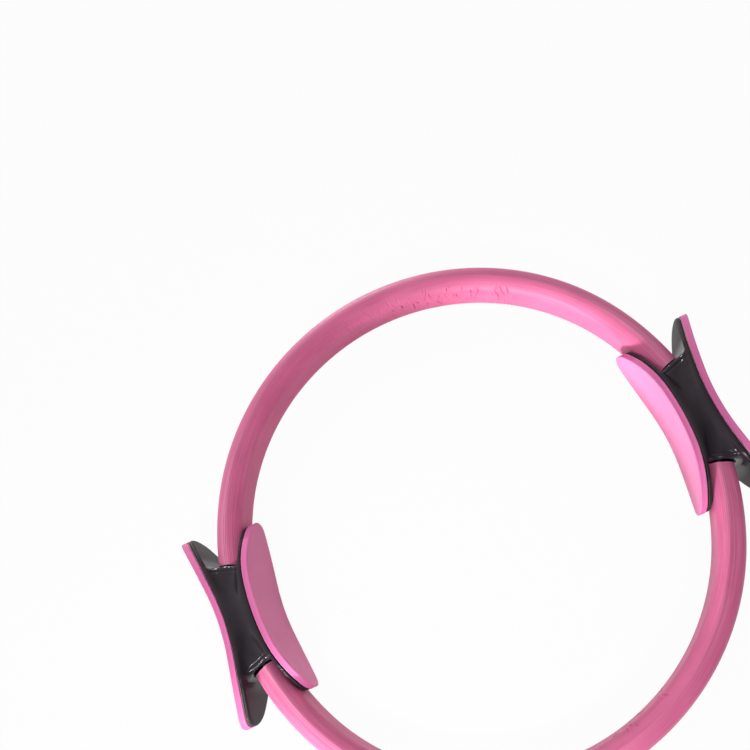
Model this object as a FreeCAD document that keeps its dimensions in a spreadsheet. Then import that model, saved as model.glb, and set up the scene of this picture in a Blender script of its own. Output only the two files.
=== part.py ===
import FreeCAD, Part
import math
import os
import Sketcher

# Squeeze ring: two half hoops of springy strip in foam tubes, held in two moulded grips.
# The ring lies flat. X runs from grip to grip, Y across the ring, Z is the ring's axis.

doc = FreeCAD.newDocument("squeeze_ring")

# Driving sizes in millimetres
driving = {
    # hoop: an oval of side arcs and crown arcs, measured on the strip's middle line.
    # The arcs meet at a share of the quarter turn.
    "hoop_half_width": 171.5,
    "hoop_half_height": 180.5,
    "hoop_join_share": 0.296,
    # springy strip
    "strip_width": 18.0,
    "strip_thickness": 4.0,
    "strip_edge_round": 1.0,
    "strip_end_gap": 3.0,
    "strip_hole_clearance": 0.5,
    # foam tube over the strip
    "tube_radial": 19.0,
    "tube_axial": 31.0,
    "tube_corner": 7.5,
    "tube_bore_clearance": 0.3,
    "tube_end_gap": 0.6,
    # grip moulding
    "flange_thickness": 3.0,
    "flange_overhang": 5.1,
    "flange_edge_round": 1.2,
    "outer_face_radius": 165.0,
    "outer_half_length": 71.5,
    "outer_flat_half": 24.0,
    "outer_tip_radius": 15.0,
    "inner_flare": 5.55,
    "inner_half_length": 63.5,
    "inner_flat_half": 20.0,
    "inner_tip_radius": 14.0,
    "socket_half_length": 34.0,
    "socket_wall": 2.8,
    "socket_side_wall": 0.65,
    "socket_mouth_clearance": 0.6,
    "socket_mouth_depth": 10.0,
    "socket_rim_round": 0.5,
    "saddle_waist_share": 0.8,
    "saddle_mouth_share": -0.15,
    "saddle_sink": 0.2,
    "slot_clearance": 0.3,
    # foam pads and the adhesive film that holds them
    "pad_thickness": 4.7,
    "pad_inset": 0.4,
    "pad_edge_round": 1.2,
    "film_thickness": 0.25,
    "film_inset": 1.5,
    # screws through the strip ends
    "screw_near": 9.0,
    "screw_far": 19.0,
    "screw_radius": 2.0,
    "screw_length": 13.0,
    "screw_head_radius": 3.8,
    "screw_head_height": 1.8,
    "screw_head_round": 0.6,
    "screw_clearance": 0.1,
    "screw_seat_depth": 2.0,
    # every cut runs past the solid by this much
    "overrun": 5.0,
}

# Shares for telling edges and faces apart
same_share = 0.002
aligned_share = 0.9

sheet = doc.addObject("Spreadsheet::Sheet", "sizes")
for row, (alias, value) in enumerate(driving.items(), start=1):
    sheet.set("A%d" % row, alias)
    sheet.set("B%d" % row, str(value))
    sheet.setAlias("B%d" % row, alias)
doc.recompute()


def size(expression):
    # The value of an expression in the sheet's own names
    return float(sheet.evalExpression(expression))


def bound(expression):
    # The same expression as another object writes it
    words = sorted(driving, key=len, reverse=True)
    for word in words:
        expression = expression.replace(word, "<%d>" % words.index(word))
    for number, word in enumerate(words):
        expression = expression.replace("<%d>" % number, "sizes." + word)
    return expression


# Derived lengths, each written once in the sheet's names
quarter_turn = "(hoop_join_share * 90 deg)"
flatness = "(1 + tan(%s) - 1 / cos(%s))" % (quarter_turn, quarter_turn)
side_centre = "((hoop_half_height - hoop_half_width) / %s)" % flatness
side_radius = "(hoop_half_width + %s)" % side_centre
crown_centre = "(%s * tan(%s))" % (side_centre, quarter_turn)
crown_radius = "(hoop_half_height - %s)" % crown_centre
tube_end_sine = "((socket_half_length + tube_end_gap) / (%s - tube_radial / 2))" % side_radius
slot_half = "(strip_thickness / 2 + slot_clearance)"

# The socket takes the foam tubes' ends, and sits where the hoop's middle line crosses its mouths
mouth_half_radial = "(tube_radial / 2)"
mouth_half_axial = "(tube_axial / 2 + socket_mouth_clearance)"
mouth_corner = "(tube_corner + socket_mouth_clearance)"
socket_half_axial = "(%s + socket_wall)" % mouth_half_axial
socket_radius = "(%s + socket_wall)" % mouth_half_radial
socket_straight = "(%s - %s)" % (socket_half_axial, socket_radius)
grip_centre = "(sqrt(%s^2 - socket_half_length^2) - %s)" % (side_radius, side_centre)
strip_arc_centre = "(%s + %s)" % (grip_centre, side_centre)
half_width = "(%s + flange_overhang)" % socket_half_axial

# Each flange is bent about an upright axis, and its web passes a thin wall outside the mouths.
# The inner flange bends a little more tightly than the foam tubes beside it.
pad_stack = "(pad_thickness + film_thickness)"
inner_stack = "(inner_flare + flange_thickness + %s)" % pad_stack
face_radius = {
    "outer": "outer_face_radius",
    "inner": "(%s - tube_radial / 2 - %s)" % (side_radius, inner_stack),
}
mouth_web = "(%s + socket_side_wall)" % mouth_half_radial
back_radius = {}
web_radius = {}
axis_offset = {}
waist_web = {}
for end in ("outer", "inner"):
    back_radius[end] = "(%s + %s)" % (face_radius[end], pad_stack)
    web_radius[end] = "(%s + flange_thickness)" % back_radius[end]
    axis_offset[end] = "(%s + sqrt(%s^2 - socket_half_length^2))" % (mouth_web, web_radius[end])
    waist_web[end] = "(%s - %s)" % (axis_offset[end], web_radius[end])
flange_back = "(%s - %s)" % (axis_offset["outer"], back_radius["outer"])
screw_seat = "(%s - screw_seat_depth)" % flange_back


def vector(x, y):
    return FreeCAD.Vector(x, y, 0)


def arc(centre_x, centre_y, radius, start, end):
    circle = Part.Circle(vector(centre_x, centre_y), FreeCAD.Vector(0, 0, 1), radius)
    return Part.ArcOfCircle(circle, start, end)


def line(x1, y1, x2, y2):
    return Part.LineSegment(vector(x1, y1), vector(x2, y2))


def sketch_on(body, name, role):
    sketch = body.newObject("Sketcher::SketchObject", body.Name + "_" + name)
    plane = [item for item in body.Origin.OriginFeatures if item.Role == role][0]
    sketch.AttachmentSupport = [(plane, "")]
    sketch.MapMode = "FlatFace"
    return sketch


def drive(sketch, name, expression, kind, *where):
    # A dimension with a name, tied to the sheet
    index = sketch.addConstraint(Sketcher.Constraint(kind, *where, size(expression)))
    sketch.renameConstraint(index, name)
    sketch.setExpression("Constraints." + name, bound(expression))


def relate(sketch, kind, *where):
    sketch.addConstraint(Sketcher.Constraint(kind, *where))


def across(sketch, name, expression, geo, point, sign):
    # Distance of a point from the vertical axis, on the side that sign gives
    ends = (-1, 1, geo, point) if sign > 0 else (geo, point, -1, 1)
    drive(sketch, name, expression, "DistanceX", *ends)


def along(sketch, name, expression, geo, point, sign):
    # Distance of a point from the horizontal axis, on the side that sign gives
    ends = (-1, 1, geo, point) if sign > 0 else (geo, point, -1, 1)
    drive(sketch, name, expression, "DistanceY", *ends)


def arc_strip(sketch, tag, centre, side, small, large, low, high):
    # A strip between two arcs about one centre on the X axis, cut square at two heights.
    # side is the side of the axis on which the centre lies. Heights are (sign, expression).
    first = sketch.GeometryCount
    cx = side * size(centre)
    heights = [sign * size(text) for sign, text in (low, high)]
    for radius in (size(small), size(large)):
        angles = [math.asin(height / radius) for height in heights]
        if side > 0:
            angles = [math.pi - angle for angle in reversed(angles)]
        sketch.addGeometry(arc(cx, 0, radius, *angles))
    ends = (2, 1) if side > 0 else (1, 2)
    for height, end in zip(heights, ends):
        start = sketch.getPoint(first, end)
        stop = sketch.getPoint(first + 1, end)
        sketch.addGeometry(line(start.x, height, stop.x, height))
    for step, end in enumerate(ends):
        relate(sketch, "Coincident", first, end, first + 2 + step, 1)
        relate(sketch, "Coincident", first + 1, end, first + 2 + step, 2)
        relate(sketch, "Horizontal", first + 2 + step)
    relate(sketch, "Coincident", first, 3, first + 1, 3)
    relate(sketch, "PointOnObject", first, 3, -1)
    across(sketch, tag + "_centre", centre, first, 3, side)
    drive(sketch, tag + "_small", small, "Radius", first)
    drive(sketch, tag + "_large", large, "Radius", first + 1)
    along(sketch, tag + "_low", low[1], first + 2, 1, low[0])
    along(sketch, tag + "_high", high[1], first + 3, 1, high[0])


def oval(sketch, tag, half_length, half_height, flat_half, tip_radius):
    # A long oval: two straight edges, four large arcs and two round tips, all tangent
    first = sketch.GeometryCount
    far, high, flat, tip = [size(text) for text in (half_length, half_height, flat_half, tip_radius)]
    reach = far - tip - flat
    large = (reach**2 + high**2 - tip**2) / (2 * (high - tip))
    turn = math.atan2(large - high, reach)
    quarter = math.pi / 2
    sketch.addGeometry(line(flat, high, -flat, high))
    sketch.addGeometry(arc(-flat, high - large, large, quarter, math.pi - turn))
    sketch.addGeometry(arc(tip - far, 0, tip, math.pi - turn, math.pi + turn))
    sketch.addGeometry(arc(-flat, large - high, large, math.pi + turn, 3 * quarter))
    sketch.addGeometry(line(-flat, -high, flat, -high))
    sketch.addGeometry(arc(flat, large - high, large, 3 * quarter, 4 * quarter - turn))
    sketch.addGeometry(arc(far - tip, 0, tip, -turn, turn))
    sketch.addGeometry(arc(flat, high - large, large, turn, quarter))
    count = 8
    for step in range(count):
        relate(sketch, "Tangent", first + step, 2, first + (step + 1) % count, 1)
    relate(sketch, "Horizontal", first)
    relate(sketch, "Horizontal", first + 4)
    for step, sign in ((2, -1), (6, 1)):
        relate(sketch, "PointOnObject", first + step, 3, -1)
        across(sketch, "%s_tip_%d" % (tag, step), half_length + " - " + tip_radius, first + step, 3, sign)
        drive(sketch, "%s_round_%d" % (tag, step), tip_radius, "Radius", first + step)
    for step, sign in ((0, 1), (4, -1)):
        along(sketch, "%s_edge_%d" % (tag, step), half_height, first + step, 1, sign)
        across(sketch, "%s_start_%d" % (tag, step), flat_half, first + step, 1, sign)
        across(sketch, "%s_stop_%d" % (tag, step), flat_half, first + step, 2, -sign)


def frame(sketch, tag, half_length, half_height):
    # A rectangle about the origin
    first = sketch.GeometryCount
    far, high = size(half_length), size(half_height)
    corners = [(far, high), (-far, high), (-far, -high), (far, -high)]
    for step, corner in enumerate(corners):
        sketch.addGeometry(line(*corner, *corners[(step + 1) % 4]))
    for step in range(4):
        relate(sketch, "Coincident", first + step, 2, first + (step + 1) % 4, 1)
        relate(sketch, "Vertical" if step % 2 else "Horizontal", first + step)
    for step, sign in ((0, 1), (2, -1)):
        along(sketch, "%s_edge_%d" % (tag, step), half_height, first + step, 1, sign)
        across(sketch, "%s_side_%d" % (tag, step), half_length, first + step, 1, sign)


def rounded_frame(sketch, tag, offset, half_length, half_height, corner):
    # A rectangle with round corners, its centre on the X axis at offset
    first = sketch.GeometryCount
    middle, far, high, round_radius = [size(text) for text in (offset, half_length, half_height, corner)]
    quarter = math.pi / 2
    x, y = far - round_radius, high - round_radius
    sketch.addGeometry(line(middle + x, high, middle - x, high))
    sketch.addGeometry(arc(middle - x, y, round_radius, quarter, 2 * quarter))
    sketch.addGeometry(line(middle - far, y, middle - far, -y))
    sketch.addGeometry(arc(middle - x, -y, round_radius, 2 * quarter, 3 * quarter))
    sketch.addGeometry(line(middle - x, -high, middle + x, -high))
    sketch.addGeometry(arc(middle + x, -y, round_radius, 3 * quarter, 4 * quarter))
    sketch.addGeometry(line(middle + far, -y, middle + far, y))
    sketch.addGeometry(arc(middle + x, y, round_radius, 0, quarter))
    for step in range(8):
        relate(sketch, "Tangent", first + step, 2, first + (step + 1) % 8, 1)
    for step in (0, 4):
        relate(sketch, "Horizontal", first + step)
        along(sketch, "%s_edge_%d" % (tag, step), half_height, first + step, 1, 1 - step / 2)
    for step in (2, 6):
        relate(sketch, "Vertical", first + step)
    near_side, far_side = offset + " - " + half_length, offset + " + " + half_length
    across(sketch, tag + "_near", "abs(%s)" % near_side, first + 2, 1, 1 if size(near_side) > 0 else -1)
    across(sketch, tag + "_far", far_side, first + 6, 1, 1)
    drive(sketch, tag + "_corner", corner, "Radius", first + 1)
    for step in (3, 5, 7):
        relate(sketch, "Equal", first + 1, first + step)


def feature(body, kind, name, sketch, length=None, symmetric=True, reverse=False):
    before = body.Tip.Shape.Volume if kind == "Pocket" else 0
    item = body.newObject("PartDesign::" + kind, body.Name + "_" + name)
    item.Profile = sketch
    if symmetric:
        item.SideType = "Symmetric"
    item.Reversed = reverse
    if length is None:
        item.Type = "ThroughAll"
    else:
        item.setExpression("Length", bound(length))
    body.Tip = item
    doc.recompute()
    if kind == "Pocket" and item.Shape.Volume >= before:
        raise ValueError(item.Name + " cuts nothing")
    return item


def round_edges(body, name, radius, chosen):
    base = body.Tip
    edges = enumerate(base.Shape.Edges, start=1)
    names = ["Edge%d" % number for number, edge in edges if chosen(base.Shape, edge)]
    if not names:
        raise ValueError(body.Name + " has no edges for " + name)
    item = body.newObject("PartDesign::Fillet", body.Name + "_" + name)
    item.Base = (base, names)
    item.setExpression("Radius", bound(radius))
    body.Tip = item
    doc.recompute()
    if "Invalid" in item.State or not item.Shape.isValid():
        raise ValueError(item.Name + " does not round its edges")
    return item


def place(item, turn):
    # Pieces are drawn on the ring's middle plane, and the ring rests on its grips' edges
    spin = FreeCAD.Rotation(FreeCAD.Vector(0, 0, 1), turn)
    item.Placement = FreeCAD.Placement(FreeCAD.Vector(0, 0, 0), spin)
    item.setExpression("Placement.Base.z", bound(half_width))


def place_grip(item, turn):
    place(item, turn)
    side = "-" if turn else ""
    item.setExpression("Placement.Base.x", side + bound(grip_centre))


def new_body(name):
    body = doc.addObject("PartDesign::Body", name)
    body.Label = name
    return body


# Hoop halves: one section turned about the crown's axis, then on about each side's axis

def revolve(body, name, section, angle, symmetric):
    before = body.Tip.Shape.Volume if body.Tip else 0
    item = body.newObject("PartDesign::Revolution", body.Name + "_" + name)
    item.Profile = section
    item.ReferenceAxis = (section, ["V_Axis"])
    item.Midplane = symmetric
    item.Reversed = not symmetric
    item.setExpression("Angle", bound(angle))
    body.Tip = item
    doc.recompute()
    if item.Shape.Volume <= before:
        raise ValueError(item.Name + " adds nothing")
    return item


def half_hoop(body, draw, end_angle):
    # draw puts the section on a sketch, at a distance from the sketch's upright axis
    crown = sketch_on(body, "crown_section", "YZ_Plane")
    crown.setExpression("AttachmentOffset.Base.x", bound(crown_centre))
    draw(crown, crown_radius)
    revolve(body, "crown", crown, "180 deg - 2 * " + quarter_turn, True)
    side = sketch_on(body, "side_section", "XZ_Plane")
    side.AttachmentOffset = FreeCAD.Placement(vector(0, 0), FreeCAD.Rotation(FreeCAD.Vector(0, 1, 0), 1))
    side.setExpression("AttachmentOffset.Base.x", "-" + bound(side_centre))
    side.setExpression("AttachmentOffset.Rotation.Angle", bound(quarter_turn))
    draw(side, side_radius)
    turned = revolve(body, "side", side, quarter_turn + " - " + end_angle, False)
    mirrored = body.newObject("PartDesign::Mirrored", body.Name + "_other_side")
    mirrored.Originals = [turned]
    plane = [item for item in body.Origin.OriginFeatures if item.Role == "YZ_Plane"][0]
    mirrored.MirrorPlane = (plane, [""])
    body.Tip = mirrored
    doc.recompute()


def spring_strip(name, turn):
    body = new_body(name)

    def section(sketch, offset):
        half_thick, half_wide = "strip_thickness / 2", "strip_width / 2"
        rounded_frame(sketch, "strip", offset, half_thick, half_wide, "strip_edge_round")

    half_hoop(body, section, "asin(strip_end_gap / %s)" % side_radius)
    holes = sketch_on(body, "holes", "YZ_Plane")
    for geo, where in enumerate(("screw_near", "screw_far")):
        radius = "screw_radius + strip_hole_clearance"
        circle = Part.Circle(vector(size(where), 0), FreeCAD.Vector(0, 0, 1), size(radius))
        holes.addGeometry(circle)
        relate(holes, "PointOnObject", geo, 3, -1)
        across(holes, where, where, geo, 3, 1)
        drive(holes, where + "_hole", radius, "Radius", geo)
    feature(body, "Pocket", "holes_cut", holes)
    place(body, turn)
    return body


def foam_tube(name, turn):
    body = new_body(name)

    def section(sketch, offset):
        rounded_frame(sketch, "tube", offset, "tube_radial / 2", "tube_axial / 2", "tube_corner")
        bore_radial = "(strip_thickness / 2 + tube_bore_clearance)"
        bore_axial = "(strip_width / 2 + tube_bore_clearance)"
        rounded_frame(sketch, "bore", offset, bore_radial, bore_axial, "strip_edge_round")

    half_hoop(body, section, "asin(%s)" % tube_end_sine)
    place(body, turn)
    return body


# Grip moulding: a hollow socket between two flanges that curve away from each other

def same(length, other):
    return abs(length - other) < same_share * size("overrun")


def turned_about(face, axis):
    # Whether a face is a cylinder along X, Y or Z
    return isinstance(face.Surface, Part.Cylinder) and abs(getattr(face.Surface.Axis, axis)) > aligned_share


def faces_along(face, axis):
    # Whether a face is flat and looks along X, Y or Z
    return isinstance(face.Surface, Part.Plane) and abs(getattr(face.Surface.Axis, axis)) > aligned_share


def touches(shape, edge, radius):
    # Whether a face of this radius about an upright axis meets the edge
    faces = shape.ancestorsOfType(edge, Part.Face)
    return any(turned_about(face, "z") and same(face.Surface.Radius, radius) for face in faces)


def socket_section(body, name, shift, webs, share):
    # The barrel with a hollow on each side that rises to the flange's web.
    # Where a hollow meets the web is a share of the flange's overhang.
    sketch = sketch_on(body, name, "XZ_Plane")
    sketch.setExpression("AttachmentOffset.Base.z", bound(shift))
    rise = "(%s + %s * (flange_overhang - flange_edge_round))" % (socket_radius, share)
    barrel, middle, up = size(socket_radius), size(socket_straight), size(rise)
    reach, hollow, far, near, lean = {}, {}, {}, {}, {}
    for end, web in webs.items():
        reach[end] = "(%s + saddle_sink)" % web
        parts = (reach[end], rise, socket_radius, socket_radius, reach[end])
        hollow[end] = "((%s^2 + %s^2 - %s^2) / (2 * (%s + %s)))" % parts
        far[end] = size(reach[end])
        near[end] = far[end] - size(hollow[end])
        lean[end] = math.atan2(up, near[end])
    half = math.pi
    high = middle + up
    out_round, in_round = size(hollow["outer"]), size(hollow["inner"])
    sketch.addGeometry(arc(0, middle, barrel, lean["outer"], half - lean["inner"]))
    sketch.addGeometry(arc(-near["inner"], high, in_round, half, 2 * half - lean["inner"]))
    sketch.addGeometry(line(-far["inner"], high, -far["inner"], -high))
    sketch.addGeometry(arc(-near["inner"], -high, in_round, lean["inner"], half))
    sketch.addGeometry(arc(0, -middle, barrel, half + lean["inner"], 2 * half - lean["outer"]))
    sketch.addGeometry(arc(near["outer"], -high, out_round, 0, half - lean["outer"]))
    sketch.addGeometry(line(far["outer"], -high, far["outer"], high))
    sketch.addGeometry(arc(near["outer"], high, out_round, half + lean["outer"], 2 * half))
    meeting = ((0, 2, 1, 2), (1, 1, 2, 1), (2, 2, 3, 2), (3, 1, 4, 1))
    meeting += ((4, 2, 5, 2), (5, 1, 6, 1), (6, 2, 7, 2), (7, 1, 0, 1))
    for where in meeting:
        relate(sketch, "Tangent", *where)
    for geo, sign in ((0, 1), (4, -1)):
        relate(sketch, "PointOnObject", geo, 3, -2)
        along(sketch, "barrel_%d" % geo, socket_straight, geo, 3, sign)
        drive(sketch, "round_%d" % geo, socket_radius, "Radius", geo)
    for geo, end, sign in ((2, "inner", -1), (6, "outer", 1)):
        relate(sketch, "Vertical", geo)
        across(sketch, end + "_reach", reach[end], geo, 1, sign)
    for geo, end in ((1, "inner"), (3, "inner"), (5, "outer"), (7, "outer")):
        drive(sketch, "hollow_%d" % geo, hollow[end], "Radius", geo)
    return sketch


def grip_moulding(name, turn):
    body = new_body(name)
    # Socket and saddle: narrow at the waist and wide at both mouths
    mouth_webs = {end: mouth_web for end in waist_web}
    sections = [
        socket_section(body, "lower_end", "socket_half_length", mouth_webs, "saddle_mouth_share"),
        socket_section(body, "waist", "0", waist_web, "saddle_waist_share"),
        socket_section(body, "upper_end", "-socket_half_length", mouth_webs, "saddle_mouth_share"),
    ]
    socket = body.newObject("PartDesign::AdditiveLoft", name + "_socket")
    socket.Profile = sections[0]
    socket.Sections = [(section, [""]) for section in sections[1:]]
    body.Tip = socket
    doc.recompute()
    # Flanges: a bent plate each, cut to its oval
    for end, side in (("outer", 1), ("inner", -1)):
        long_half = end + "_half_length"
        plan = sketch_on(body, end + "_plan", "XY_Plane")
        reach = long_half + " + overrun"
        ends = ((-1, reach), (1, reach))
        arc_strip(plan, end, axis_offset[end], side, back_radius[end], web_radius[end], *ends)
        feature(body, "Pad", end + "_plate", plan, "2 * " + half_width)
        outline = sketch_on(body, end + "_outline", "YZ_Plane")
        oval(outline, end, long_half, half_width, end + "_flat_half", end + "_tip_radius")
        frame(outline, end + "_frame", long_half + " + 2 * overrun", half_width + " + overrun")
        feature(body, "Pocket", end + "_trim", outline, axis_offset[end], False, side > 0)

    # Round edges of the flanges on the side that faces the socket
    def flange_edge(shape, edge):
        faces = shape.ancestorsOfType(edge, Part.Face)
        on_rim = any(turned_about(face, "x") or faces_along(face, "z") for face in faces)
        return on_rim and any(touches(shape, edge, size(web)) for web in web_radius.values())

    round_edges(body, "edges", "flange_edge_round", flange_edge)
    # Mouths of the socket, one at each end
    for tag, shift in (("upper", "-socket_half_length"), ("lower", "socket_half_length")):
        mouth = sketch_on(body, tag + "_mouth", "XZ_Plane")
        mouth.setExpression("AttachmentOffset.Base.z", bound(shift))
        rounded_frame(mouth, tag, "0", mouth_half_radial, mouth_half_axial, mouth_corner)
        feature(body, "Pocket", tag + "_mouth_cut", mouth, "socket_mouth_depth", False, tag == "upper")
    corner = size(mouth_corner)

    # Soft rims where the foam tubes enter
    def rim_edge(shape, edge):
        faces = shape.ancestorsOfType(edge, Part.Face)
        on_end = any(faces_along(face, "y") for face in faces)
        flat_wall = any(faces_along(face, "x") or faces_along(face, "z") for face in faces)
        round_wall = any(turned_about(face, "y") and same(face.Surface.Radius, corner) for face in faces)
        at_mouth = same(abs(edge.CenterOfMass.y), size("socket_half_length"))
        return at_mouth and on_end and (flat_wall or round_wall)

    round_edges(body, "rims", "socket_rim_round", rim_edge)
    # Slots that hold the strip ends, with a wall between them
    slots = sketch_on(body, "slots", "XY_Plane")
    small, large = side_radius + " - " + slot_half, side_radius + " + " + slot_half
    bottom, top = "strip_end_gap - slot_clearance", "socket_half_length + overrun"
    arc_strip(slots, "upper", strip_arc_centre, -1, small, large, (1, bottom), (1, top))
    arc_strip(slots, "lower", strip_arc_centre, -1, small, large, (-1, top), (-1, bottom))
    feature(body, "Pocket", "slot_cut", slots, "strip_width + 2 * slot_clearance")
    # Screw seats and bores, from the outer flange inwards
    for tag, radius, depth in (
        ("seat", "screw_head_radius + screw_clearance", "overrun + screw_seat_depth"),
        ("bore", "screw_radius + screw_clearance", "overrun + screw_seat_depth + screw_length + screw_clearance"),
    ):
        drill = sketch_on(body, tag, "YZ_Plane")
        drill.setExpression("AttachmentOffset.Base.z", bound(flange_back + " + overrun"))
        geo = 0
        for where in ("screw_near", "screw_far"):
            for sign in (-1, 1):
                circle = Part.Circle(vector(sign * size(where), 0), FreeCAD.Vector(0, 0, 1), size(radius))
                drill.addGeometry(circle)
                relate(drill, "PointOnObject", geo, 3, -1)
                across(drill, "%s_%d" % (where, geo), where, geo, 3, sign)
                drive(drill, "radius_%d" % geo, radius, "Radius", geo)
                geo += 1
        feature(body, "Pocket", tag + "_cut", drill, depth, False)
    place_grip(body, turn)
    return body


# Foam pads and adhesive films: bent sheets on the flanges

def bent_sheet(name, turn, end, near, thick, inset, edge_round=None):
    # near is the sheet's distance from the pad's open face
    body = new_body(name)
    side = 1 if end == "outer" else -1
    small = face_radius[end] + " + " + near
    large = small + " + " + thick
    long_half = end + "_half_length"
    plan = sketch_on(body, "plan", "XY_Plane")
    reach = long_half + " + overrun"
    arc_strip(plan, "sheet", axis_offset[end], side, small, large, (-1, reach), (1, reach))
    feature(body, "Pad", "plate", plan, "2 * " + half_width)
    outline = sketch_on(body, "outline", "YZ_Plane")
    half_length = "(%s - %s)" % (long_half, inset)
    half_height = "(%s - %s)" % (half_width, inset)
    tip = "(%s_tip_radius - %s)" % (end, inset)
    oval(outline, "sheet", half_length, half_height, end + "_flat_half", tip)
    frame(outline, "frame", long_half + " + 2 * overrun", half_width + " + overrun")
    feature(body, "Pocket", "trim", outline, axis_offset[end], False, side > 0)
    if edge_round:
        open_radius = size(small)
        round_edges(body, "edge", edge_round, lambda shape, edge: touches(shape, edge, open_radius))
    place_grip(body, turn)
    return body


# Screws: round heads and plain shanks

def screw_pair(name, turn, sign):
    screws = []
    for where in ("screw_near", "screw_far"):
        pieces = []
        for tag, radius, height, from_seat in (
            ("shank", "screw_radius", "screw_length", "screw_length"),
            ("head", "screw_head_radius", "screw_head_height", "0"),
        ):
            rod = doc.addObject("Part::Cylinder", "%s_%s_%s" % (name, where, tag))
            rod.setExpression("Radius", bound(radius))
            rod.setExpression("Height", bound(height))
            rod.Placement = FreeCAD.Placement(vector(0, 0), FreeCAD.Rotation(FreeCAD.Vector(0, 1, 0), 90))
            rod.setExpression("Placement.Base.x", bound(screw_seat + " - " + from_seat))
            rod.setExpression("Placement.Base.y", ("-" if sign < 0 else "") + bound(where))
            pieces.append(rod)
        doc.recompute()
        head = doc.addObject("Part::Fillet", "%s_%s_dome" % (name, where))
        head.Base = pieces[1]
        outermost = size(screw_seat + " + screw_head_height")
        rounding = size("screw_head_round")
        head.Edges = [
            (number, rounding, rounding)
            for number, edge in enumerate(pieces[1].Shape.Edges, start=1)
            if same(edge.CenterOfMass.x, outermost)
        ]
        screw = doc.addObject("Part::Fuse", "%s_%s" % (name, where))
        screw.Base = pieces[0]
        screw.Tool = head
        screws.append(screw)
    pair = doc.addObject("Part::Compound", name)
    pair.Links = screws
    pair.Label = name
    doc.recompute()
    place_grip(pair, turn)
    return pair


pieces = []
for half, turn in (("upper", 0), ("lower", 180)):
    pieces.append(spring_strip(half + "_spring_strip", turn))
    pieces.append(foam_tube(half + "_foam_tube", turn))
for side, turn in (("right", 0), ("left", 180)):
    pieces.append(grip_moulding(side + "_grip_moulding", turn))
    for end in ("outer", "inner"):
        pad = side + "_" + end + "_pad"
        pieces.append(bent_sheet(pad, turn, end, "0", "pad_thickness", "pad_inset", "pad_edge_round"))
        pieces.append(bent_sheet(pad + "_film", turn, end, "pad_thickness", "film_thickness", "film_inset"))
    for half, sign in (("upper", 1), ("lower", -1)):
        turned = -sign if turn else sign
        pieces.append(screw_pair("%s_%s_screws" % (side, half), turn, turned))
doc.recompute()

for item in doc.Objects:
    if "Invalid" in item.State or "Error" in item.State:
        raise ValueError(item.Name + " did not build")
for piece in pieces:
    if piece.Shape.isNull() or not piece.Shape.isValid():
        raise ValueError(piece.Label + " has no valid shape")

os.makedirs("parts", exist_ok=True)
for piece in pieces:
    piece.Shape.exportStep("parts/%s.step" % piece.Label)
    box = piece.Shape.BoundBox
    print(piece.Label, len(piece.Shape.Solids), round(piece.Shape.Volume), "mm3", box)
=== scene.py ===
import math

import bpy
import numpy as np
from mathutils import Euler, Matrix, Vector


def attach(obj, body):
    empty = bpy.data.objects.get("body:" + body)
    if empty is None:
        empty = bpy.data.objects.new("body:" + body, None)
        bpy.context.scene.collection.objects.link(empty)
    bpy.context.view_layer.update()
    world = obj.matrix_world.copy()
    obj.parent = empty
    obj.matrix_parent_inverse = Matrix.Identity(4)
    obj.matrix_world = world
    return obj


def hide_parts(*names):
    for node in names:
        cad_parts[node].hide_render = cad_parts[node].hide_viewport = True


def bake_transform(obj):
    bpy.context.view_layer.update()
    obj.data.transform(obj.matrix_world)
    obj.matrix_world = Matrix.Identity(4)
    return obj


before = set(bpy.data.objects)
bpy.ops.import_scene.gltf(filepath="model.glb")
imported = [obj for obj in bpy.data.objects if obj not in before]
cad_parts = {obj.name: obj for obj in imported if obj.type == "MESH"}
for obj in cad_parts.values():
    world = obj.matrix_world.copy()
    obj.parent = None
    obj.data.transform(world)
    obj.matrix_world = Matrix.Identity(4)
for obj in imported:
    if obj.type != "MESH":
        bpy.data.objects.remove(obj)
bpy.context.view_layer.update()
scene = bpy.context.scene
scene.view_settings.view_transform = "Standard"
mm = 0.001
print("frame loaded,", len(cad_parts), "nodes")


class Wire:
    # one socket of a node tree, arithmetic on it adds Math nodes
    def __init__(self, tree, socket=None):
        self.tree = tree
        self.socket = socket

    def add(self, kind, settings=None, sockets=None, out=0):
        node = self.tree.nodes.new(kind)
        for name, value in (settings or {}).items():
            setattr(node, name, value)
        for key, value in (sockets or {}).items():
            if isinstance(value, Wire):
                self.tree.links.new(value.socket, node.inputs[key])
            else:
                node.inputs[key].default_value = value
        return Wire(self.tree, node.outputs[out])

    def pick(self, out):
        return Wire(self.tree, self.socket.node.outputs[out])

    def into(self, node, key):
        self.tree.links.new(self.socket, node.inputs[key])

    def maths(self, operation, first, second=0.0):
        return self.add("ShaderNodeMath", {"operation": operation}, {0: first, 1: second})

    def span(self, low, high, toLow=0.0, toHigh=1.0):
        return self.add("ShaderNodeMapRange", {"interpolation_type": "SMOOTHSTEP"},
                        {"Value": self, "From Min": low, "From Max": high, "To Min": toLow, "To Max": toHigh})

    def __add__(self, other):
        return self.maths("ADD", self, other)

    def __radd__(self, other):
        return self.maths("ADD", other, self)

    def __sub__(self, other):
        return self.maths("SUBTRACT", self, other)

    def __rsub__(self, other):
        return self.maths("SUBTRACT", other, self)

    def __mul__(self, other):
        return self.maths("MULTIPLY", self, other)

    def __truediv__(self, other):
        return self.maths("DIVIDE", self, other)


def shown(red, green, blue):
    # a colour as seen on screen, 0 to 255, made linear
    parts = [value / 255 for value in (red, green, blue)]
    return [p / 12.92 if p <= 0.04045 else ((p + 0.055) / 1.055) ** 2.4 for p in parts] + [1.0]


def startFinish(name):
    finish = bpy.data.materials.new(name)
    finish.use_nodes = True
    tree = finish.node_tree
    return finish, Wire(tree), tree.nodes["Principled BSDF"]


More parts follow.
